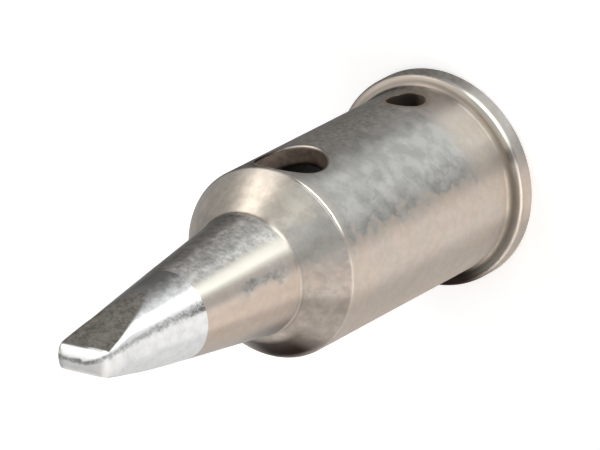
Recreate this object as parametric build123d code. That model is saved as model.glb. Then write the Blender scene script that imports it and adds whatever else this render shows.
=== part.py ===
from build123d import *
import math
import os

# Soldering iron tip for a small gas iron, turned as one piece of plated copper.
# Lengths are in millimetres and angles in degrees.
# The tip stands on its flange: the origin is the centre of the flange's rear face,
# +Z runs along the turning axis towards the blade, and the two side holes open towards -Y.

# Blind bore that slides over the burner tube, and the wall around it
bore_diameter = 6.8
barrel_wall = 0.85
bore_wall_past_exhaust = 1.65
bore_mouth_chamfer = 0.3
drill_point_angle = 118.0

# Flange that the retaining nut clamps
flange_overhang = 0.6
flange_height = 1.05
flange_edge_radius = 0.28
flange_root_fillet = 0.2
flange_rear_chamfer = 0.12

# Barrel
barrel_front_height = 13.2
barrel_front_radius = 0.12

# Shoulder and tapering neck
shoulder_length = 1.75
shoulder_drop = 1.52
neck_root_fillet = 0.2
neck_length = 9.95

# Blade: its turned sides taper less than the neck, and its two flats face -Y and +Y
blade_length = 2.37
blade_width = 2.62
blade_side_taper = 0.145
blade_root_blend = 4.0
blade_thickness = 0.98
blade_flat_angle = 15.6
blade_corner_radius = 0.6
blade_edge_radius = 0.46

# Exhaust hole behind the front edge of the barrel
exhaust_diameter = 3.05
exhaust_front_land = 0.07
exhaust_lip = 0.1

# Small vent hole in front of the flange
vent_diameter = 1.7
vent_rear_land = 0.53
vent_lip = 0.06

# Radii that follow from the sizes above
bore_radius = bore_diameter / 2
barrel_radius = bore_radius + barrel_wall
flange_radius = barrel_radius + flange_overhang
neck_root_radius = barrel_radius - shoulder_drop
blade_end_radius = blade_width / 2
blade_root_radius = blade_end_radius + blade_side_taper

# Heights that follow from the sizes above
neck_root_height = barrel_front_height + shoulder_length
blade_root_height = neck_root_height + neck_length
overall_length = blade_root_height + blade_length
exhaust_height = barrel_front_height - exhaust_front_land - exhaust_lip - exhaust_diameter / 2
vent_height = flange_height + flange_root_fillet + vent_rear_land + vent_diameter / 2
bore_wall_height = exhaust_height + bore_wall_past_exhaust
drill_point_length = bore_radius / math.tan(math.radians(drill_point_angle / 2))

# Lean of the blade's flats, and how far every cutter runs past what it cuts
blade_flat_lean = math.tan(math.radians(blade_flat_angle))
cutter_overrun = 1.0


def half_section(points):
    """A flat face in the XZ plane, from points given by their radius and height."""
    return make_face(Polyline(*[(radius, 0, height) for radius, height in points], close=True))


def round_corner(section, radius, height, rounding):
    """Round the corner of a half section that lies at a radius and height."""
    corner = section.vertices().sort_by_distance((radius, 0, height))[0]
    return fillet(corner, rounding)


def turned_blank():
    """The body as it leaves the lathe: flange, barrel, shoulder, neck and a round end."""
    section = half_section(
        [
            (0, 0),
            (flange_radius - flange_rear_chamfer, 0),
            (flange_radius, flange_rear_chamfer),
            (flange_radius, flange_height),
            (barrel_radius, flange_height),
            (barrel_radius, barrel_front_height),
            (neck_root_radius, neck_root_height),
            (blade_root_radius, blade_root_height),
            (blade_end_radius, overall_length),
            (0, overall_length),
        ]
    )
    section = round_corner(section, flange_radius, flange_height, flange_edge_radius)
    section = round_corner(section, barrel_radius, flange_height, flange_root_fillet)
    section = round_corner(section, barrel_radius, barrel_front_height, barrel_front_radius)
    section = round_corner(section, neck_root_radius, neck_root_height, neck_root_fillet)
    section = round_corner(section, blade_root_radius, blade_root_height, blade_root_blend)
    section = round_corner(section, blade_end_radius, overall_length, blade_corner_radius)
    return revolve(section, Axis.Z)


def bore_cutter():
    """The drilled bore with its conical end and the chamfer at its mouth."""
    mouth_radius = bore_radius + bore_mouth_chamfer
    section = half_section(
        [
            (0, -cutter_overrun),
            (mouth_radius, -cutter_overrun),
            (mouth_radius, 0),
            (bore_radius, bore_mouth_chamfer),
            (bore_radius, bore_wall_height),
            (0, bore_wall_height + drill_point_length),
        ]
    )
    return revolve(section, Axis.Z)


def side_hole_cutter(height, diameter):
    """A round hole drilled square to the axis, from the front side into the bore."""
    start = Plane(origin=(0, 0, height), x_dir=(1, 0, 0), z_dir=(0, -1, 0))
    return extrude(start * Circle(diameter / 2), barrel_radius + cutter_overrun)


def blade_flat_cutter():
    """The wedge ground away to leave the front flat of the blade."""
    half_thickness = blade_thickness / 2
    run_out_height = overall_length - (neck_root_radius - half_thickness) / blade_flat_lean
    overrun_height = overall_length + cutter_overrun
    outline = Polyline(
        (0, -half_thickness + cutter_overrun * blade_flat_lean, overrun_height),
        (0, -neck_root_radius, run_out_height),
        (0, -neck_root_radius, overrun_height),
        close=True,
    )
    return extrude(make_face(outline), neck_root_radius, dir=(1, 0, 0), both=True)


def hole_rim(body, height, diameter):
    """The edge where a side hole breaks through the outside of the barrel."""
    rim_centre = Vector(0, -barrel_radius, height)
    reach = diameter / 2
    rim_edges = [
        edge
        for edge in body.edges()
        if edge.bounding_box().size.length > diameter
        and (edge.bounding_box().center() - rim_centre).length < reach
    ]
    return sorted(rim_edges, key=lambda edge: edge.center().Y)[0]


def flat_end_edges(body):
    """The two straight edges between the blade's flats and its end."""
    top_face = body.faces().sort_by(Axis.Z)[-1]
    return top_face.edges().filter_by(GeomType.LINE)


def soldering_tip():
    """The whole tip: the turned blank, drilled, cross-drilled and ground to a chisel."""
    tip = turned_blank() - bore_cutter()
    tip -= side_hole_cutter(exhaust_height, exhaust_diameter)
    tip -= side_hole_cutter(vent_height, vent_diameter)
    front_flat = blade_flat_cutter()
    tip -= front_flat
    tip -= front_flat.mirror(Plane.XZ)
    tip = chamfer(hole_rim(tip, exhaust_height, exhaust_diameter), exhaust_lip)
    tip = chamfer(hole_rim(tip, vent_height, vent_diameter), vent_lip)
    return fillet(flat_end_edges(tip), blade_edge_radius)


os.makedirs("parts", exist_ok=True)
export_step(soldering_tip(), "parts/soldering_tip.step")
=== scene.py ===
import math

import bmesh
import bpy
from mathutils import Matrix, Vector, noise


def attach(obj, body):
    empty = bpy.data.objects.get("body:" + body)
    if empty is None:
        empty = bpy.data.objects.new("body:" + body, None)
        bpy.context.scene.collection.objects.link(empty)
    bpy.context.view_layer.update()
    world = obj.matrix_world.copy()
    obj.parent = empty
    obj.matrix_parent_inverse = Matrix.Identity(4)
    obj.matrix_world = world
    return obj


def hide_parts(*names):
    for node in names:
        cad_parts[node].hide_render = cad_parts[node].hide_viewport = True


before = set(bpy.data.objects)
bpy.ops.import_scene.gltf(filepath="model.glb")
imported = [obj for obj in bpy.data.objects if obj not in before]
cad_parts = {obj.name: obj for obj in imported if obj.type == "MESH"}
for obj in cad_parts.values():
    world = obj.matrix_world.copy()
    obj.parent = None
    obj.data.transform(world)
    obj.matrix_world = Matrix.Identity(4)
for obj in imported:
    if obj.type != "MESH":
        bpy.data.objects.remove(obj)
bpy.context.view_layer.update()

mm = 0.001

# Driving sizes of the tip in millimetres, the same as those of the solid
bore_radius = 3.4
barrel_wall = 0.85
bore_wall_past_exhaust = 1.65
bore_mouth_chamfer = 0.3
drill_point_length = 2.04
flange_overhang = 0.6
flange_height = 1.05
flange_edge_radius = 0.28
flange_root_fillet = 0.2
flange_rear_chamfer = 0.12
barrel_front_height = 13.2
shoulder_length = 1.75
shoulder_drop = 1.52
neck_root_fillet = 0.2
neck_length = 9.95
blade_length = 2.37
blade_end_radius = 1.31
blade_side_taper = 0.145
blade_root_blend = 4.0
blade_corner_radius = 0.6
blade_half_thickness = 0.49
blade_flat_lean = math.tan(math.radians(15.6))
blade_edge_radius = 0.46
exhaust_radius = 1.525
exhaust_front_land = 0.07
exhaust_lip = 0.1
vent_radius = 0.85
vent_rear_land = 0.53
vent_lip = 0.06

# Sizes that follow from them
barrel_radius = bore_radius + barrel_wall
flange_radius = barrel_radius + flange_overhang
neck_root_radius = barrel_radius - shoulder_drop
neck_root_height = barrel_front_height + shoulder_length
blade_root_radius = blade_end_radius + blade_side_taper
blade_root_height = neck_root_height + neck_length
overall_length = blade_root_height + blade_length
exhaust_height = barrel_front_height - exhaust_front_land - exhaust_lip - exhaust_radius
vent_height = flange_height + flange_root_fillet + vent_rear_land + vent_radius
bore_wall_height = exhaust_height + bore_wall_past_exhaust

# Roundings of the skin, a little softer than the edges of the solid
mouth_rounding = 0.05
rear_rounding = 0.06
barrel_front_rounding = 0.16
drill_tip_radius = 0.15

# The flats run out between two heights, and their long edges are softened by a width
flat_run_out = (21.5, 23.5)
flat_edge_softness = 0.12

# The two side holes: radius, height and the width of the rounded lip
exhaust_hole = (exhaust_radius, exhaust_height, exhaust_lip)
vent_hole = (vent_radius, vent_height, vent_lip)

# Heights between which the barrel's wall is remeshed around each hole
exhaust_window = (9.6, 13.135)
vent_window = (1.45, 3.85)

# Fineness of the mesh
columns = 256
row_spacing = 0.14
exhaust_window_rows = 24
vent_window_rows = 16
exhaust_half_columns = 22
vent_half_columns = 13

# Rings around and in a side hole, by share of the way or degrees of its lip, and on the blade's end
land_shares = (0.25, 0.5, 0.7, 0.86, 1.0)
lip_turns = (22.5, 45, 67.5, 90)
wall_shares = (0.15, 0.35, 0.6, 0.8, 1.0)
bore_shares = (0.6, 0.3)
end_shares = (0.85, 0.7, 0.55, 0.4, 0.25, 0.1)

# Material numbers of the faces
plating, soot, painted_lip = 0, 1, 2

# Where the bright tinning of the blade begins
tin_height = 20.76

# Finishes: colours, among them painted highlights and painted shade, tints of the reflections,
# roughnesses, and the bump's depth in millimetres
plating_cool = (0.305, 0.30, 0.288)
plating_blue = (0.283, 0.282, 0.272)
plating_warm = (0.33, 0.30, 0.275)
plating_beige = (0.34, 0.30, 0.265)
shoulder_grey = (0.33, 0.315, 0.28)
neck_brown = (0.385, 0.322, 0.275)
# Brown staining along the line of the holes, made darker there as painted shade
plating_stain_and_shade = (0.105, 0.1, 0.092)
stain_and_shade_dark = (0.048, 0.045, 0.04)
# Near black of the painted shade on the shoulder and the flange, away from the holes
shade_brown = (0.022, 0.014, 0.012)
# Cream of the painted highlights on the rim, the edges and the neck
painted_highlight_cream = (0.62, 0.60, 0.54)
# Painted light on the flange's front
painted_light_beige = (0.74, 0.655, 0.57)
# A painted dark reflection on the tinning
tin_dark_reflection = (0.26, 0.265, 0.26)
# White of the painted highlights on the tinning and the blade's end
tin_highlight_white = (0.95, 0.955, 0.94)
# Painted shade in the flange's corner with the barrel
corner_shade_colour = (0.33, 0.29, 0.23)
tin_light = (0.61, 0.62, 0.63)
tin_grey = (0.55, 0.556, 0.56)
# Staining on the tinning by the holes, made darker as painted shade
tin_stain_and_shade = (0.06, 0.06, 0.058)
# Colours of the flats, their darkness a painted dark reflection
flat_dark = (0.082, 0.079, 0.074)
flat_brown = (0.168, 0.155, 0.136)
soot_brown = (0.10, 0.075, 0.055)
soot_black = (0.03, 0.024, 0.02)
hole_brown = (0.185, 0.14, 0.11)
hole_dark = (0.12, 0.088, 0.068)
# Painted shade on one side of the vent hole's wall
vent_shade_brown = (0.025, 0.017, 0.012)
# The exhaust hole's lip: painted highlight and painted shade
lip_highlight = (0.45, 0.41, 0.37)
lip_shade = (0.12, 0.105, 0.09)
plating_tint = (0.78, 0.78, 0.78)
# Weaker reflections where painted shade lies
shade_tint = (0.5, 0.5, 0.5)
lip_tint = (0.4, 0.4, 0.4)
barrel_rough = 0.5
shoulder_rough = 0.45
neck_rough = 0.31
tin_rough = 0.24
groove_depth = 0.85
shoulder_groove = 0.3
bump_depth = 0.004

# Bands around the axis, in degrees from the side of the holes: middle, half width and softness
cool_barrel_band = (0, 66, 4)
cool_neck_band = (0, 42, 8)
cool_rim_band = (-22, 48, 14)
shoulder_patch_band = (-60, 16, 6)
# The neck's patch: cool and blotched, and darker as a painted dark reflection
neck_patch_band = (-70, 6, 5)
curls_band = (-58, 12, 10)
brown_neck_band = (-102, 26, 14)
grey_shoulder_band = (0, 50, 30)
# A painted glint on top of the shoulder
painted_glint_band = (-1, 9, 9)
# Staining along the holes' line on the barrel, neck and tinning, also painted shade there
barrel_stain_and_shade_band = (24, 37, 17)
neck_stain_and_shade_band = (46, 52, 16)
tin_stain_and_shade_band = (28, 54, 26)
holes_band = (0, 40, 5)
# Painted light on the flange's front, then painted shade in its corner
lit_front_band = (-10, 60, 20)
corner_shade_band = (-95, 60, 25)
root_shade_band = (-105, 50, 12)
# A painted dark reflection on the rim's edge
rim_dark_reflection_band = (-66, 4, 4)
# Painted highlights on the rim, the barrel's front edge, the neck's root and along the neck and
# tinning
rim_highlight_band = (-42, 15, 7)
front_highlight_band = (-41, 17, 8)
root_highlight_band = (-37, 9, 6)
highlight_streak_band = (-48, 8, 5)
# A painted dark reflection beside the streak on the tinning
dark_reflection_band = (-66, 4.5, 3.5)
# Weaker reflections on the side of the staining, also painted shade there
side_stain_shade_band = (50, 48, 16)
smooth_edge_band = (-35, 24, 10)
smooth_rim_band = (-42, 16, 8)

# Bands of painted shade on the shoulder, each with its strength
shoulder_shade_bands = (((-123, 24, 11), 1.0), ((-93, 18, 10), 0.45), ((-52, 18, 10), 0.25))

# Bands in degrees from the side away from the holes, all of painted shade
shoulder_shade_band = (15, 24, 14)
flange_shade_band = (17, 20, 14)
underside_band = (32, 24, 14)

# Zones along the axis: low, high and softness
flange_front_heights = (0.98, 1.3, 0.05)
rim_edge_heights = (0.78, 1.2, 0.05)
cool_barrel_heights = (3.2, barrel_front_height, 0.8)
front_edge_heights = (barrel_front_height - 0.05, barrel_front_height + 0.1, 0.03)
smooth_edge_heights = (barrel_front_height - 0.07, barrel_front_height + 0.08, 0.03)
shoulder_heights = (barrel_front_height + 0.05, neck_root_height - 0.05, 0.05)
# Heights of the painted shade on the shoulder
shoulder_shade_heights = (barrel_front_height + 0.1, neck_root_height - 0.5, 0.2)
neck_patch_heights = (15.7, 18.3, 0.5)
neck_zone = (neck_root_height - 0.05, neck_root_height + 0.2)

# The stage: the floor's half width in metres, how far it lies below the tip in millimetres
# and the white that it adds where it is seen, then the lamps
floor_half_width = 2.0
floor_gap = 0.02
floor_colour = (0.93, 0.93, 0.93)
floor_glow = 0.40
room_light = 0.15
lamp_distance = 0.8
lamp_aim_height = 12
plain_light = (1.0, 1.0, 1.0)
cool_light = (0.97, 1.0, 0.99)
warm_light = (1.0, 0.94, 0.88)


def run_points(start, stop, spacing):
    """Points after the start up to the stop of a straight run."""
    steps = max(1, round((stop - start).length / spacing))
    return [start.lerp(stop, step / steps) for step in range(1, steps + 1)]


def corner_points(before, corner, after, rounding, arc_steps):
    """Points on the rounding of one corner of the profile."""
    into = (before - corner).normalized()
    out = (after - corner).normalized()
    half_angle = into.angle(out) / 2
    centre = corner + (into + out).normalized() * rounding / math.sin(half_angle)
    start = corner + into * rounding / math.tan(half_angle) - centre
    stop = corner + out * rounding / math.tan(half_angle) - centre
    turn = start.angle(stop)
    points = []
    for step in range(arc_steps + 1):
        share = step / arc_steps
        weight = math.sin((1 - share) * turn), math.sin(share * turn)
        points.append(centre + (start * weight[0] + stop * weight[1]) / math.sin(turn))
    return points


def profile_points(corners):
    """The profile as points, from corners of radius, height, rounding, row spacing and arc steps.

    The last corner only gives the way that the profile was heading.
    """
    points = [Vector(corners[0][:2])]
    for before, here, after in zip(corners, corners[1:], corners[2:]):
        corner = Vector(here[:2])
        if here[2] == 0:
            points += run_points(points[-1], corner, here[3])
            continue
        arc = corner_points(Vector(before[:2]), corner, Vector(after[:2]), here[2], here[4])
        points += run_points(points[-1], arc[0], here[3]) + arc[1:]
    return points


def window_spacing(window, rows):
    return (window[1] - window[0]) / rows


def inner_corners():
    """The bore, from the point of the drill out to its mouth."""
    exhaust_step = window_spacing(exhaust_window, exhaust_window_rows)
    vent_step = window_spacing(vent_window, vent_window_rows)
    tip_length = drill_point_length * (1 - drill_tip_radius / bore_radius)
    return [
        (drill_tip_radius, bore_wall_height + tip_length, 0, 1),
        (bore_radius, bore_wall_height, 0, 0.5),
        (bore_radius, exhaust_window[1], 0, 1),
        (bore_radius, exhaust_window[0], 0, exhaust_step),
        (bore_radius, vent_window[1], 0, 0.5),
        (bore_radius, vent_window[0], 0, vent_step),
        (bore_radius, bore_mouth_chamfer, mouth_rounding, 0.5, 2),
        (bore_radius + bore_mouth_chamfer, 0, mouth_rounding, 0.2, 2),
        (flange_radius, 0),
    ]


def outer_corners():
    """The outside, from the flange's rear face to the rounded end of the blade."""
    exhaust_step = window_spacing(exhaust_window, exhaust_window_rows)
    vent_step = window_spacing(vent_window, vent_window_rows)
    return [
        (bore_radius + bore_mouth_chamfer + mouth_rounding, 0),
        (flange_radius - flange_rear_chamfer, 0, rear_rounding, 0.2, 3),
        (flange_radius, flange_rear_chamfer, rear_rounding, 0.1, 3),
        (flange_radius, flange_height, flange_edge_radius, 0.1, 9),
        (barrel_radius, flange_height, flange_root_fillet, 0.06, 7),
        (barrel_radius, vent_window[0], 0, 0.06),
        (barrel_radius, vent_window[1], 0, vent_step),
        (barrel_radius, exhaust_window[0], 0, row_spacing),
        (barrel_radius, exhaust_window[1], 0, exhaust_step),
        (barrel_radius, barrel_front_height, barrel_front_rounding, 0.02, 7),
        (neck_root_radius, neck_root_height, neck_root_fillet, 0.09, 6),
        (blade_root_radius, blade_root_height, blade_root_blend, row_spacing, 4),
        (blade_end_radius, overall_length, blade_corner_radius, 0.08, 18),
        (0, overall_length),
    ]


def flat_half_thickness(height):
    """Half the blade's thickness at a height, with the rounding at the end of the flats."""
    line = blade_half_thickness + (overall_length - height) * blade_flat_lean
    lean = math.atan(blade_flat_lean)
    centre_height = overall_length - blade_edge_radius
    centre = blade_half_thickness + blade_edge_radius * blade_flat_lean
    centre -= blade_edge_radius / math.cos(lean)
    beyond = height - centre_height
    if beyond < blade_edge_radius * math.sin(lean):
        return line
    return centre + math.sqrt(max(0, blade_edge_radius**2 - beyond**2))


def smooth_step(low, high, value):
    share = min(1, max(0, (value - low) / (high - low)))
    return share * share * (3 - 2 * share)


def flattened(y, height):
    """The y of a point of the turned blade, moved onto the flat where the flat cuts it."""
    if height < flat_run_out[0]:
        return y
    softness = flat_edge_softness * smooth_step(*flat_run_out, height)
    limit = flat_half_thickness(height)
    depth = abs(y)
    kept = (depth + limit - math.sqrt((depth - limit) ** 2 + softness**2)) / 2
    return math.copysign(max(0.0, kept), y)


class TipMesh:
    """Collects the vertices and faces of the tip, with one material number for each face."""

    def __init__(self):
        self.vertices = []
        self.faces = []
        self.finishes = []

    def add_vertex(self, x, y, z):
        self.vertices.append((x, y, z))
        return len(self.vertices) - 1

    def add_face(self, corners, finish):
        self.faces.append(corners)
        self.finishes.append(finish)

    def join_loops(self, first, second, finish):
        for here in range(len(first)):
            there = (here + 1) % len(first)
            self.add_face((first[here], first[there], second[there], second[here]), finish)


def column_angle(column):
    return 2 * math.pi * column / columns


def turned_ring(mesh, radius, height):
    """One ring of the turned body; column 0 lies on the +Y side."""
    ring = []
    for column in range(columns):
        angle = column_angle(column)
        x, y = -radius * math.sin(angle), radius * math.cos(angle)
        ring.append(mesh.add_vertex(x, flattened(y, height), height))
    return ring


def find_row(points, radius, height):
    target = Vector((radius, height))
    return min(range(len(points)), key=lambda row: (points[row] - target).length)


def window_loop(rings, low_row, high_row, half_columns):
    """The vertices around a window, the same way round for the outside and the bore."""
    middle = columns // 2
    left, right = middle - half_columns, middle + half_columns
    step = 1 if high_row > low_row else -1
    rows = list(range(low_row, high_row, step))
    loop = [rings[row][left] for row in rows]
    loop += [rings[high_row][column] for column in range(left, right)]
    loop += [rings[row + step][right] for row in reversed(rows)]
    loop += [rings[low_row][column] for column in range(right, left, -1)]
    return loop


def in_window(row, column, window):
    first, last, half_columns = window
    middle = columns // 2
    return first <= row < last and middle - half_columns <= column < middle + half_columns


def turned_faces(mesh, rings, windows, finish_of_row):
    """The faces between the rings, left open in the windows."""
    for row in range(len(rings) - 1):
        for column in range(columns):
            if any(in_window(row, column, window) for window in windows):
                continue
            across = (column + 1) % columns
            here, there = rings[row], rings[row + 1]
            corners = (here[column], here[across], there[across], there[column])
            mesh.add_face(corners, finish_of_row(row))


def wall_depth(radius, x):
    """Where a wall of a radius lies on the -Y side, at a distance from the middle plane."""
    return -math.sqrt(radius * radius - x * x)


def blend_ring(mesh, loop, angles, height, hole_radius, wall_radius, share):
    """A ring on a wall, a share of the way from the window to the hole's circle."""
    ring = []
    for vertex, angle in zip(loop, angles):
        x, _, z = mesh.vertices[vertex]
        x += (hole_radius * math.cos(angle) - x) * share
        z += (height + hole_radius * math.sin(angle) - z) * share
        ring.append(mesh.add_vertex(x, wall_depth(wall_radius, x), z))
    return ring


def hole_ring(mesh, angles, height, hole_radius, sunk, share):
    """A ring in a hole, a share of the way from a depth below the barrel's outside to the bore."""
    ring = []
    for angle in angles:
        x = hole_radius * math.cos(angle)
        outside = wall_depth(barrel_radius, x) + sunk
        depth = outside * (1 - share) + wall_depth(bore_radius, x) * share
        ring.append(mesh.add_vertex(x, depth, height + hole_radius * math.sin(angle)))
    return ring


def drill_side_hole(mesh, outer_loop, inner_loop, hole, rim_finish):
    """Join the window outside to the window in the bore through a round hole with a rounded lip."""
    hole_radius, height, lip = hole
    angles = []
    for vertex in outer_loop:
        x, _, z = mesh.vertices[vertex]
        angles.append(math.atan2(z - height, x))
    rings = [(outer_loop, plating)]
    for share in land_shares:
        ring = blend_ring(mesh, outer_loop, angles, height, hole_radius + lip, barrel_radius, share)
        rings.append((ring, plating))
    for turn in lip_turns:
        sunk = lip * (1 - math.cos(math.radians(turn)))
        radius = hole_radius + lip * (1 - math.sin(math.radians(turn)))
        rings.append((hole_ring(mesh, angles, height, radius, sunk, 0), rim_finish))
    for share in wall_shares:
        rings.append((hole_ring(mesh, angles, height, hole_radius, lip, share), soot))
    for share in bore_shares:
        ring = blend_ring(mesh, inner_loop, angles, height, hole_radius, bore_radius, share)
        rings.append((ring, soot))
    rings.append((inner_loop, soot))
    for (first, _), (second, finish) in zip(rings, rings[1:]):
        mesh.join_loops(first, second, finish)


def close_end(mesh, ring, height, shares, finish):
    """Close a ring with smaller copies of itself and a point on the axis."""
    outline = [mesh.vertices[vertex] for vertex in ring]
    for share in shares:
        smaller = [mesh.add_vertex(x * share, y * share, z) for x, y, z in outline]
        mesh.join_loops(ring, smaller, finish)
        ring = smaller
    centre = mesh.add_vertex(0, 0, height)
    for here in range(len(ring)):
        mesh.add_face((ring[here], ring[(here + 1) % len(ring)], centre), finish)


def tip_mesh():
    mesh = TipMesh()
    inner = profile_points(inner_corners())
    outer = profile_points(outer_corners())
    points = inner + outer
    rings = [turned_ring(mesh, point[0], point[1]) for point in points]
    windows, loops = [], []
    for window, half_columns in (
        (exhaust_window, exhaust_half_columns),
        (vent_window, vent_half_columns),
    ):
        outer_rows = [len(inner) + find_row(outer, barrel_radius, height) for height in window]
        inner_rows = [find_row(inner, bore_radius, height) for height in window]
        windows.append((outer_rows[0], outer_rows[1], half_columns))
        windows.append((inner_rows[1], inner_rows[0], half_columns))
        loops.append(
            (
                window_loop(rings, *outer_rows, half_columns),
                window_loop(rings, *inner_rows, half_columns),
            )
        )
    last_bore_row = len(inner) - 1
    turned_faces(mesh, rings, windows, lambda row: soot if row < last_bore_row else plating)
    drill_side_hole(mesh, *loops[0], exhaust_hole, painted_lip)
    drill_side_hole(mesh, *loops[1], vent_hole, plating)
    close_end(mesh, rings[0], bore_wall_height + drill_point_length, (), soot)
    close_end(mesh, rings[-1], overall_length, end_shares, plating)
    return mesh


def waviness(x, y, z):
    """How far the surface sinks at a point: almost nothing on the plating, more on the tinning."""
    place = Vector((x, y, z))
    tinned = smooth_step(tin_height - 0.15, tin_height + 0.35, z)
    plated = 0.002 + 0.0015 * (1 + noise.noise(place * 1.7))
    flowing = 0.003 + 0.005 * (1 + noise.noise(place * 1.1))
    flowing += 0.001 * (1 + noise.noise(place * 3.1))
    return plated * (1 - tinned) + flowing * tinned


def turn_faces_outwards(data):
    shell = bmesh.new()
    shell.from_mesh(data)
    bmesh.ops.recalc_face_normals(shell, faces=shell.faces)
    if shell.calc_volume(signed=True) < 0:
        bmesh.ops.reverse_faces(shell, faces=shell.faces)
    shell.to_mesh(data)
    shell.free()


def build_tip():
    shape = tip_mesh()
    data = bpy.data.meshes.new("tip")
    data.from_pydata([(x * mm, y * mm, z * mm) for x, y, z in shape.vertices], [], shape.faces)
    data.polygons.foreach_set("material_index", shape.finishes)
    data.polygons.foreach_set("use_smooth", [True] * len(shape.faces))
    turn_faces_outwards(data)
    normals = [vertex.normal.copy() for vertex in data.vertices]
    for vertex, normal in zip(data.vertices, normals):
        x, y, z = vertex.co / mm
        vertex.co -= normal * waviness(x, y, z) * mm
    data.update()
    tip = bpy.data.objects.new("soldering_tip_skin", data)
    bpy.context.scene.collection.objects.link(tip)
    return tip


class Graph:
    """A material and short calls that add nodes to it; every call gives a socket."""

    def __init__(self, name):
        self.material = bpy.data.materials.new(name)
        self.material.use_nodes = True
        self.tree = self.material.node_tree
        self.shader = self.tree.nodes["Principled BSDF"]
        coordinates = self.tree.nodes.new("ShaderNodeTexCoord")
        scaled = self.node("ShaderNodeVectorMath", coordinates.outputs["Object"])
        scaled.operation = "SCALE"
        scaled.inputs["Scale"].default_value = 1 / mm
        self.place = scaled.outputs[0]

    def node(self, kind, *values):
        node = self.tree.nodes.new(kind)
        for socket, value in zip(node.inputs, values):
            self.put(socket, value)
        return node

    def put(self, socket, value):
        if isinstance(value, bpy.types.NodeSocket):
            self.tree.links.new(value, socket)
        else:
            socket.default_value = value

    def set(self, name, value):
        self.put(self.shader.inputs[name], value)

    def math(self, operation, *values):
        node = self.node("ShaderNodeMath", *values)
        node.operation = operation
        return node.outputs[0]

    def add(self, first, second):
        return self.math("ADD", first, second)

    def times(self, first, *others):
        """The product of two or more values."""
        for value in others:
            first = self.math("MULTIPLY", first, value)
        return first

    def larger(self, first, *others):
        """The largest of two or more values."""
        for value in others:
            first = self.math("MAXIMUM", first, value)
        return first

    def inverse(self, share):
        return self.math("SUBTRACT", 1.0, share)

    def distance(self, across, along):
        return self.math("SQRT", self.add(self.times(across, across), self.times(along, along)))

    def degrees(self, across, along):
        return self.times(self.math("ARCTAN2", across, along), 180 / math.pi)

    def ramp(self, value, low, high, low_result=0.0, high_result=1.0):
        node = self.node("ShaderNodeMapRange", value, low, high, low_result, high_result)
        node.interpolation_type = "SMOOTHSTEP"
        return node.outputs[0]

    def fade(self, value, low, high):
        """1 up to a low value and 0 past a high one."""
        return self.ramp(value, low, high, 1.0, 0.0)

    def span(self, value, low, high, soft):
        """1 between two values and 0 outside them."""
        rise = self.ramp(value, low - soft, low + soft)
        return self.times(rise, self.fade(value, high - soft, high + soft))

    def near(self, value, middle, half_width, soft):
        """1 within a half width of a middle value, and 0 beyond it."""
        away = self.math("ABSOLUTE", self.add(value, -middle))
        return self.fade(away, half_width - soft, half_width + soft)

    def noise(self, scale, detail=2.0, roughness=0.5):
        """Cloudy noise from about 0.3 to 0.7, of a number of clouds for each millimetre."""
        node = self.tree.nodes.new("ShaderNodeTexNoise")
        self.put(node.inputs["Vector"], self.place)
        self.put(node.inputs["Scale"], scale)
        self.put(node.inputs["Detail"], detail)
        self.put(node.inputs["Roughness"], roughness)
        return node.outputs["Fac"]

    def stray(self, noise, amount):
        """Noise that goes both ways from 0, times an amount."""
        return self.times(self.add(noise, -0.5), amount)

    def mix(self, share, first, second):
        node = self.tree.nodes.new("ShaderNodeMix")
        node.data_type = "RGBA"
        colours = [socket for socket in node.inputs if socket.type == "RGBA"]
        self.put(node.inputs[0], share)
        self.put(colours[0], (*first, 1) if isinstance(first, tuple) else first)
        self.put(colours[1], (*second, 1) if isinstance(second, tuple) else second)
        return [socket for socket in node.outputs if socket.type == "RGBA"][0]

    def dim(self, colour, amount):
        """A colour times a brightness."""
        node = self.node("ShaderNodeVectorMath", colour)
        node.operation = "SCALE"
        self.put(node.inputs["Scale"], amount)
        return node.outputs[0]

    def tone(self, colour, share, amount):
        """A colour times a brightness where the share is 1, and as it is where the share is 0."""
        return self.dim(colour, self.ramp(share, 0.0, 1.0, 1.0, amount))


class Place:
    """Where a point of the tip lies, in millimetres, and its degrees around the axis."""

    def __init__(self, graph):
        split = graph.node("ShaderNodeSeparateXYZ", graph.place)
        self.x, self.y, self.z = split.outputs
        self.radius = graph.distance(self.x, self.y)
        self.turn = graph.degrees(self.x, graph.times(self.y, -1.0))
        self.behind = graph.degrees(graph.times(self.x, -1.0), self.y)


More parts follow.
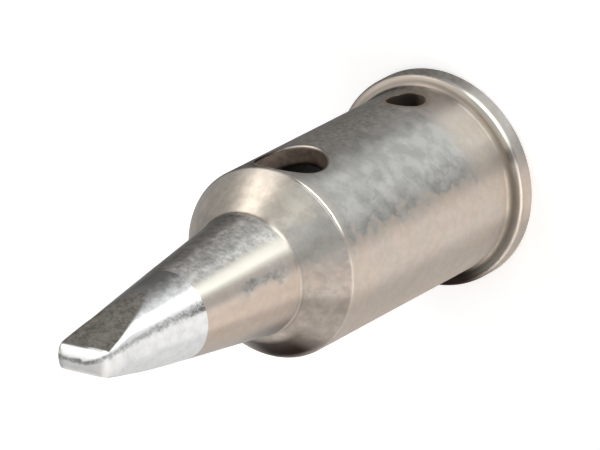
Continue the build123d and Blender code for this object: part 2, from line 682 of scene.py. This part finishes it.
class TipPlace(Place):
    """A place with the noises of the finish and the zones of the tip, 1 inside and 0 outside."""

    def __init__(self, graph):
        super().__init__(graph)
        self.clouds = graph.noise(0.55, 3.0, 0.6)
        self.blotches = graph.noise(2.2, 3.0, 0.65)
        self.specks = graph.noise(4.2, 4.0, 0.72)
        self.grain = graph.noise(9.0, 2.0, 0.6)
        worn_noise = graph.times(graph.noise(3.0, 4.0, 0.65), 0.65)
        self.mottled = graph.add(worn_noise, graph.times(self.grain, 0.35))
        self.ragged_turn = graph.add(self.turn, graph.stray(graph.noise(1.9, 1.5, 0.5), 40.0))
        self.add_turned_zones(graph)
        self.add_blade_zones(graph)

    def add_turned_zones(self, graph):
        self.flange_front = graph.times(
            graph.ramp(self.radius, 4.3, 4.42), graph.span(self.z, *flange_front_heights)
        )
        self.rim_edge = graph.times(
            graph.ramp(self.radius, 4.52, 4.62), graph.span(self.z, *rim_edge_heights)
        )
        self.shoulder = graph.span(self.z, *shoulder_heights)
        self.neck = graph.ramp(self.z, *neck_zone)
        self.neck_patch = graph.times(
            graph.near(self.ragged_turn, *neck_patch_band), graph.span(self.z, *neck_patch_heights)
        )

    def add_blade_zones(self, graph):
        ragged_height = graph.add(self.z, graph.stray(self.blotches, 0.12))
        self.tinned = graph.ramp(ragged_height, tin_height - 0.03, tin_height + 0.03)
        end_thickness = blade_half_thickness + overall_length * blade_flat_lean
        thickness = graph.add(graph.times(self.z, -blade_flat_lean), end_thickness)
        over_flat = graph.add(graph.math("ABSOLUTE", self.y), graph.times(thickness, -1.0))
        on_flat = graph.ramp(over_flat, -0.11, -0.05)
        self.flat = graph.times(
            on_flat, graph.fade(self.z, overall_length - 0.5, overall_length - 0.42)
        )
        self.end = graph.ramp(self.z, overall_length - 0.4, overall_length - 0.1)
        self.off_end = graph.inverse(self.end)
        self.corners = graph.times(
            graph.ramp(graph.math("ABSOLUTE", self.x), 0.65, 1.1),
            graph.ramp(self.z, overall_length - 1.4, overall_length - 0.4),
            graph.inverse(on_flat),
        )
        self.dull_end = graph.larger(self.end, self.corners)


def from_hole(graph, at, hole):
    """The distance from the middle line of a side hole."""
    return graph.distance(at.x, graph.add(at.z, -hole[1]))


def cool_share(graph, at):
    """Where the plating is cool and blotched instead of warm and even; the split is partly blotched
    tarnish and partly a painted reflection of cool and warm light.
    """
    barrel = graph.times(
        graph.near(at.ragged_turn, *cool_barrel_band), graph.span(at.z, *cool_barrel_heights)
    )
    neck = graph.times(graph.near(at.ragged_turn, *cool_neck_band), at.neck)
    patch = graph.times(graph.near(at.ragged_turn, *shoulder_patch_band), at.shoulder, 0.75)
    on_rim = graph.ramp(at.radius, 4.6, 4.75)
    rim = graph.times(on_rim, graph.near(at.turn, *cool_rim_band), 0.7)
    return graph.larger(barrel, neck, patch, at.neck_patch, rim)


def warm_plating(graph, at):
    """Beige, browner under the neck and greyer on top of the shoulder, with a painted glint there.
    """
    warm = graph.mix(graph.ramp(at.clouds, 0.35, 0.65), plating_warm, plating_beige)
    brown = graph.times(graph.near(at.turn, *brown_neck_band), at.neck)
    warm = graph.mix(brown, warm, neck_brown)
    warm = graph.dim(warm, graph.ramp(at.blotches, 0.3, 0.7, 0.95, 1.05))
    grey = graph.times(graph.near(at.turn, *grey_shoulder_band), at.shoulder, 0.6)
    warm = graph.mix(grey, warm, shoulder_grey)
    mottle = graph.stray(graph.noise(2.4, 3.0, 0.6), at.shoulder)
    warm = graph.dim(warm, graph.ramp(mottle, -0.12, 0.12, 1.08, 0.92))
    return graph.tone(warm, graph.times(graph.near(at.turn, *painted_glint_band), at.shoulder), 1.14)


def cool_plating(graph, at):
    """Bluish grey with dark spots and curls, with painted shade by the exhaust hole and painted
    light and shade along the axis, lighter at the root.
    """
    cool = graph.mix(graph.ramp(at.clouds, 0.4, 0.6), plating_cool, plating_blue)
    spots = graph.add(graph.times(graph.noise(1.3, 3.0, 0.5), 0.85), graph.times(at.grain, 0.15))
    cool = graph.dim(cool, graph.ramp(spots, 0.38, 0.62, 1.04, 0.82))
    curls = graph.near(graph.noise(1.4, 0.5, 0.5), 0.5, 0.022, 0.022)
    cool = graph.tone(cool, graph.times(curls, graph.near(at.ragged_turn, *curls_band)), 0.88)
    # Painted light and shade along the axis: a little darker past 9 mm, much lighter from the
    # neck's root, darker again past 16 mm
    level = graph.times(
        graph.ramp(at.z, 5.0, 9.0, 1.0, 0.93),
        graph.ramp(at.z, 14.5, 15.2, 1.0, 1.36),
        graph.ramp(at.z, 16.0, 19.0, 1.0, 0.84),
    )
    # Painted shade around the exhaust hole
    shade = graph.ramp(from_hole(graph, at, exhaust_hole), 1.6, 2.5, 0.8, 1.0)
    cool = graph.dim(graph.dim(cool, level), shade)
    return graph.dim(cool, graph.ramp(graph.stray(at.specks, at.neck), -0.15, 0.15, 1.22, 0.78))


def stained_and_shaded(graph, at, colour):
    """Brown staining along the line of the holes, made darker there as painted shade."""
    ragged = graph.add(at.turn, graph.stray(at.blotches, 20.0))
    barrel = graph.near(ragged, *barrel_stain_and_shade_band)
    for other_zone in (at.shoulder, at.neck, at.flange_front):
        barrel = graph.times(barrel, graph.inverse(other_zone))
    ragged = graph.add(at.turn, graph.stray(at.blotches, 30.0))
    neck = graph.times(graph.near(ragged, *neck_stain_and_shade_band), at.neck)
    brown = graph.mix(graph.ramp(at.specks, 0.36, 0.62), plating_stain_and_shade, stain_and_shade_dark)
    return graph.mix(graph.times(graph.larger(barrel, neck), 0.88), colour, brown)


def sooted(graph, at, colour):
    """Soot around the vent hole and on the narrow land in front of the exhaust hole."""
    holes_side = graph.near(at.turn, *holes_band)
    by_vent = graph.ramp(from_hole(graph, at, vent_hole), 0.85, 1.25, 0.6, 0.0)
    colour = graph.mix(graph.times(by_vent, holes_side), colour, soot_brown)
    land = graph.times(
        graph.fade(from_hole(graph, at, exhaust_hole), 1.75, 2.2),
        graph.ramp(at.z, 11.9, 12.5),
        graph.ramp(at.x, -0.2, 0.2),
    )
    beyond = graph.times(graph.near(at.x, 1.7, 0.6, 0.4), graph.ramp(at.z, 12.3, 12.9, 0.0, 0.75))
    below_edge = graph.fade(at.z, 13.12, barrel_front_height)
    by_exhaust = graph.times(graph.larger(land, beyond), holes_side, below_edge, 0.9)
    return graph.mix(by_exhaust, colour, soot_black)


def flange_light_and_shade(graph, at, colour):
    """Painted light on the flange's front, painted shade in its corner with the barrel and a
    near-black patch of painted shade below.
    """
    light = graph.times(at.flange_front, graph.near(at.turn, *lit_front_band), 0.8)
    colour = graph.mix(light, colour, painted_light_beige)
    corner = graph.times(graph.fade(at.z, 1.2, 1.45), graph.fade(at.radius, 4.56, 4.66))
    corner_shade_share = graph.ramp(graph.near(at.turn, *corner_shade_band), 0.0, 1.0, 0.0, 0.4)
    colour = graph.mix(graph.times(corner, corner_shade_share), colour, corner_shade_colour)
    black = graph.times(
        graph.ramp(at.z, 0.5, 0.8),
        graph.fade(at.z, 1.2, 1.8),
        graph.near(at.behind, *flange_shade_band),
        0.95,
    )
    return graph.mix(black, colour, shade_brown)


def painted_shading(graph, at, colour):
    """Painted shade: a near-black patch on the shoulder away from the holes, darker bands around
    the shoulder, the neck's underside and root, and a dark reflection on the rim's edge.
    """
    shade_patch = graph.times(
        graph.near(at.behind, *shoulder_shade_band),
        graph.span(at.z, *shoulder_shade_heights),
        graph.ramp(at.z, 13.6, 14.5, 1.0, 0.85),
    )
    colour = graph.mix(shade_patch, colour, shade_brown)
    shoulder_shades = [graph.times(graph.near(at.turn, *band), amount) for band, amount in shoulder_shade_bands]
    colour = graph.tone(colour, graph.times(graph.larger(*shoulder_shades), at.shoulder), 0.5)
    underside = graph.times(
        graph.near(at.behind, *underside_band), at.neck, graph.ramp(at.z, 15.6, 19.0, 1.0, 0.1)
    )
    colour = graph.tone(colour, underside, 0.5)
    on_root = graph.near(at.z, neck_root_height, 0.12, 0.06)
    colour = graph.tone(colour, graph.times(on_root, graph.near(at.turn, *root_shade_band)), 0.84)
    return graph.tone(colour, graph.times(at.rim_edge, graph.near(at.turn, *rim_dark_reflection_band)), 0.45)


def painted_highlights(graph, at, colour):
    """Painted highlights: cream lines on the rim, the barrel's front edge and the neck's root, and
    the long streak on the neck.
    """
    rim = graph.times(at.rim_edge, graph.near(at.turn, *rim_highlight_band))
    on_edge = graph.span(at.z, *front_edge_heights)
    front = graph.times(on_edge, graph.near(at.turn, *front_highlight_band))
    on_root = graph.near(at.z, neck_root_height, 0.07, 0.04)
    root = graph.times(on_root, graph.near(at.turn, *root_highlight_band), 0.5)
    lines = graph.times(graph.larger(rim, front, root), 0.9)
    streak = graph.times(graph.near(at.turn, *highlight_streak_band), at.neck, 0.75)
    return graph.mix(graph.larger(streak, lines), colour, painted_highlight_cream)


def plating_colour(graph, at):
    """Cool and blotched by the holes, warm on the rest, with stains, soot, painted shade and
    painted highlights.
    """
    colour = graph.mix(cool_share(graph, at), warm_plating(graph, at), cool_plating(graph, at))
    # A darker patch on the neck beside the highlight streak, a painted dark reflection
    colour = graph.tone(colour, at.neck_patch, 0.78)
    for marked in (stained_and_shaded, sooted, flange_light_and_shade, painted_shading, painted_highlights):
        colour = marked(graph, at, colour)
    return colour


def tin_colour(graph, at):
    """Bright and bluish, with a painted highlight streak, a painted dark reflection beside it and
    stains with painted shade by the holes.
    """
    tin = graph.mix(graph.ramp(at.blotches, 0.35, 0.65), tin_light, tin_grey)
    ragged = graph.add(at.turn, graph.stray(at.blotches, 30.0))
    # Staining with painted shade on the holes' side of the tinning
    stain_shade = graph.times(
        graph.near(ragged, *tin_stain_and_shade_band), at.off_end, graph.ramp(at.z, 21.8, 23.0, 0.97, 0.88)
    )
    tin = graph.mix(stain_shade, tin, tin_stain_and_shade)

    # The painted highlight streak and the painted dark reflection bend as they near the end of the
    # blade
    middle, half_width, soft = highlight_streak_band
    bent = graph.add(at.turn, graph.ramp(at.z, 24.6, overall_length - 0.3, 0.0, 15.0))
    narrowed = graph.times(graph.add(bent, -middle), graph.ramp(at.z, 24.4, 26.6, 1.0, 2.0))
    streak = graph.times(graph.near(narrowed, 0, half_width, soft), at.off_end, 0.9)
    tin = graph.mix(streak, tin, tin_highlight_white)
    bent = graph.add(at.turn, graph.ramp(at.z, 24.6, overall_length - 0.3, 0.0, 6.0))
    ragged = graph.add(bent, graph.stray(at.blotches, 22.0))
    dark_reflection = graph.times(
        graph.near(ragged, *dark_reflection_band), at.off_end, graph.ramp(at.grain, 0.35, 0.6, 0.4, 0.9)
    )
    dark_reflection_grey = graph.mix(graph.ramp(at.z, tin_height + 0.2, 22.4), tin_stain_and_shade, tin_dark_reflection)
    return graph.mix(dark_reflection, tin, dark_reflection_grey)


def end_band_and_line(graph, at, tin):
    """The blade's end: a painted highlight band above an uneven dark line, itself a painted dark
    reflection, with a dark spot at each corner.
    """
    beside = graph.larger(graph.times(graph.add(at.x, 0.2), -1.0), 0.0)
    sag = graph.add(graph.times(beside, beside, 0.32), graph.stray(at.blotches, 0.3))
    past_line = graph.add(graph.add(at.y, sag), 0.11)
    band = graph.ramp(graph.fade(past_line, -0.04, 0.0), 0.0, 1.0, 0.4, 1.0)
    tin = graph.mix(graph.times(at.end, band), tin, tin_highlight_white)
    dark_line = graph.times(
        graph.near(past_line, 0.035, 0.095, 0.055),
        graph.ramp(at.z, overall_length - 0.3, overall_length - 0.15),
        graph.ramp(at.mottled, 0.4, 0.56, 0.4, 1.0),
    )
    spot_across = graph.near(graph.math("ABSOLUTE", at.x), 1.13, 0.08, 0.07)
    corner_spot = graph.times(spot_across, graph.near(at.y, -0.4, 0.08, 0.07), 0.9)
    return graph.mix(graph.times(graph.larger(dark_line, corner_spot), 0.74), tin, flat_dark)


def blade_colour(graph, at):
    """Tinning with its painted end band and dark line, dark mottled flats whose darkness is a
    painted dark reflection, and darker, duller corners.
    """
    dark_flat_colour = graph.mix(graph.ramp(at.mottled, 0.36, 0.64), flat_dark, flat_brown)
    tin = end_band_and_line(graph, at, tin_colour(graph, at))
    return graph.tone(graph.mix(at.flat, tin, dark_flat_colour), at.corners, 0.72)


def reflection_tint(graph, at):
    """Weaker reflections past the shoulder on the side of the staining, also painted shade there,
    and where painted shade lies on the shoulder and the flange.
    """
    past_shoulder = graph.ramp(at.z, barrel_front_height, neck_root_height)
    stain_shade = graph.times(graph.near(at.turn, *side_stain_shade_band), past_shoulder)
    shade_patch = graph.times(
        graph.near(at.behind, *shoulder_shade_band),
        graph.fade(at.z, neck_root_height - 0.4, neck_root_height),
        graph.larger(at.shoulder, graph.fade(at.z, 1.2, 1.8)),
    )
    return graph.mix(graph.larger(stain_shade, shade_patch), plating_tint, shade_tint)


def set_gloss(graph, at):
    """Satin with turning marks, smoother and unmarked on two bright edges and on the blade."""
    on_edge = graph.span(at.z, *smooth_edge_heights)
    edge = graph.times(on_edge, graph.near(at.turn, *smooth_edge_band))
    rim = graph.times(graph.ramp(at.radius, 4.5, 4.6), graph.ramp(at.z, 0.7, 0.85))
    smooth = graph.larger(edge, graph.times(rim, graph.near(at.turn, *smooth_rim_band), 0.35))
    rough = barrel_rough
    for share, change in (
        (at.shoulder, shoulder_rough - barrel_rough),
        (at.neck, neck_rough - barrel_rough),
        (at.tinned, tin_rough - neck_rough),
        (at.dull_end, 0.38),
        (smooth, -0.2),
        (graph.add(at.grain, -0.5), 0.12),
    ):
        rough = graph.add(rough, graph.times(share, change))
    graph.set("Roughness", rough)
    graph.set("Metallic", graph.inverse(graph.times(at.dull_end, 0.6)))

    unmarked = graph.larger(smooth, rim, at.flat, at.dull_end)
    less_on_shoulder = graph.inverse(graph.times(at.shoulder, 1 - shoulder_groove))
    grooved = graph.times(graph.inverse(unmarked), less_on_shoulder, groove_depth)
    graph.set("Anisotropic", grooved)
    graph.set("Anisotropic Rotation", 0.25)
    tangent = graph.tree.nodes.new("ShaderNodeTangent")
    tangent.direction_type = "RADIAL"
    tangent.axis = "Z"
    graph.set("Tangent", tangent.outputs[0])


def add_bump(graph):
    bump = graph.tree.nodes.new("ShaderNodeBump")
    bump.inputs["Strength"].default_value = 0.25
    bump.inputs["Distance"].default_value = bump_depth * mm
    graph.put(bump.inputs["Height"], graph.noise(14.0, 3.0, 0.6))
    graph.set("Normal", bump.outputs[0])


def plating_material():
    graph = Graph("satin_plating")
    at = TipPlace(graph)
    colour = graph.mix(at.tinned, plating_colour(graph, at), blade_colour(graph, at))
    graph.set("Base Color", colour)
    graph.set("Specular Tint", reflection_tint(graph, at))
    set_gloss(graph, at)
    add_bump(graph)
    return graph.material


def soot_material():
    """Soot in the bore and brown walls in the two holes, with painted shade on one side of the vent
    hole.
    """
    graph = Graph("sooty_bore")
    at = Place(graph)
    clouds = graph.ramp(graph.noise(2.5, 3.0, 0.6), 0.35, 0.65)
    sooty = graph.mix(clouds, soot_brown, soot_black)
    browned = graph.mix(clouds, hole_brown, hole_dark)
    shaded_vent_side = graph.times(graph.ramp(at.x, -0.35, 0.1), graph.fade(at.z, 5.0, 6.0))
    browned = graph.mix(shaded_vent_side, browned, vent_shade_brown)
    near_mouth = graph.ramp(at.radius, bore_radius - 0.1, bore_radius + 0.35)
    graph.set("Base Color", graph.mix(near_mouth, sooty, browned))
    graph.set("Metallic", 0.3)
    graph.set("Roughness", 0.55)
    return graph.material


def lip_material():
    """The rim of the exhaust hole: a painted highlight in its middle, painted shade on the rest and
    near black at its +X end.
    """
    graph = Graph("painted_lip")
    at = Place(graph)
    lit_middle = graph.times(graph.ramp(at.x, -0.75, 0.1), graph.fade(at.x, 0.7, 1.25))
    lit_lip = graph.mix(graph.noise(3.0), plating_beige, lip_highlight)
    colour = graph.mix(lit_middle, lip_shade, lit_lip)
    graph.set("Base Color", graph.mix(graph.ramp(at.x, 1.0, 1.45), colour, soot_black))
    graph.set("Specular Tint", (*lip_tint, 1))
    graph.set("Metallic", 1.0)
    graph.set("Roughness", 0.42)
    return graph.material


tip = build_tip()
tip.data.materials.append(plating_material())
tip.data.materials.append(soot_material())
tip.data.materials.append(lip_material())
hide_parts("soldering_tip")
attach(tip, "root")


def way_to(azimuth, elevation):
    """The direction from the tip to an azimuth, counted from the side of the holes."""
    level = math.cos(elevation)
    return Vector((math.sin(azimuth) * level, -math.cos(azimuth) * level, math.sin(elevation)))


# Camera, fitted to the photograph's outline of the turned body
camera_azimuth = math.radians(-57.399)
camera_elevation = math.radians(51.053)
camera_roll = math.radians(117.475)
camera_distance = 349.427 * mm
camera_lens = 491.272
aim = Vector((0.14788, -0.90066, 10.70848)) * mm


def add_camera():
    back = way_to(camera_azimuth, camera_elevation)
    camera = bpy.data.objects.new("camera", bpy.data.cameras.new("camera"))
    bpy.context.scene.collection.objects.link(camera)
    camera.data.sensor_width = 36
    camera.data.lens = camera_lens
    camera.data.clip_start = 10 * mm
    camera.data.clip_end = 10
    level = (-back).to_track_quat("-Z", "Y").to_matrix().to_4x4()
    place = Matrix.Translation(aim + back * camera_distance)
    camera.matrix_world = place @ level @ Matrix.Rotation(-camera_roll, 4, "Z")
    bpy.context.scene.camera = camera


def add_lamp(name, direction, size, power, colour):
    """A soft square lamp that faces the tip from an azimuth and elevation in degrees."""
    back = way_to(*(math.radians(angle) for angle in direction))
    light = bpy.data.lights.new(name, "AREA")
    light.size = size
    light.energy = power
    light.color = colour
    lamp = bpy.data.objects.new(name, light)
    bpy.context.scene.collection.objects.link(lamp)
    lamp.location = Vector((0, 0, lamp_aim_height * mm)) + back * lamp_distance
    lamp.rotation_euler = (-back).to_track_quat("-Z", "Y").to_euler()


def add_floor():
    half = floor_half_width
    data = bpy.data.meshes.new("floor")
    data.from_pydata(
        [(-half, -half, 0), (half, -half, 0), (half, half, 0), (-half, half, 0)], [], [(0, 1, 2, 3)]
    )
    floor = bpy.data.objects.new("floor", data)
    bpy.context.scene.collection.objects.link(floor)
    graph = Graph("pale_floor")
    graph.set("Base Color", (*floor_colour, 1))
    graph.set("Roughness", 0.9)
    path = graph.tree.nodes.new("ShaderNodeLightPath").outputs
    seen = graph.larger(
        path["Is Camera Ray"], path["Is Glossy Ray"], path["Is Transmission Ray"]
    )
    graph.set("Emission Color", (1, 1, 1, 1))
    graph.set("Emission Strength", graph.times(seen, floor_glow))
    floor.data.materials.append(graph.material)
    floor.location.z = -floor_gap * mm


def add_world():
    world = bpy.data.worlds.new("studio")
    bpy.context.scene.world = world
    world.use_nodes = True
    background = world.node_tree.nodes["Background"]
    background.inputs["Color"].default_value = (*plain_light, 1)
    background.inputs["Strength"].default_value = room_light


add_camera()
add_floor()
add_world()
for name, direction, size, power, colour in (
    ("low_right_far", (-15, 3), 0.2, 2.9, cool_light),
    ("low_right", (-30, 3), 0.2, 1.9, cool_light),
    ("low_front_right", (-45, 3), 0.16, 2.6, cool_light),
    ("low_front", (-60, 3), 0.2, 1.2, cool_light),
    ("low_left", (-90, 3), 0.2, 2.7, warm_light),
    ("low_left_far", (-105, 3), 0.2, 1.7, warm_light),
    ("low_back_left", (-119, 3), 0.2, 2.6, warm_light),
    ("low_back", (-150, 3), 0.45, 2.9, warm_light),
    ("low_far_back", (-176, 3), 0.35, 2.0, warm_light),
    ("shoulder_lamp", (32, 14), 0.42, 3.2, warm_light),
    ("high_back", (98, 52), 1.0, 2.3, plain_light),
    ("overhead", (-100, 75), 0.9, 1.2, plain_light),
):
    add_lamp(name, direction, size, power, colour)
bpy.context.scene.view_settings.view_transform = "Standard"
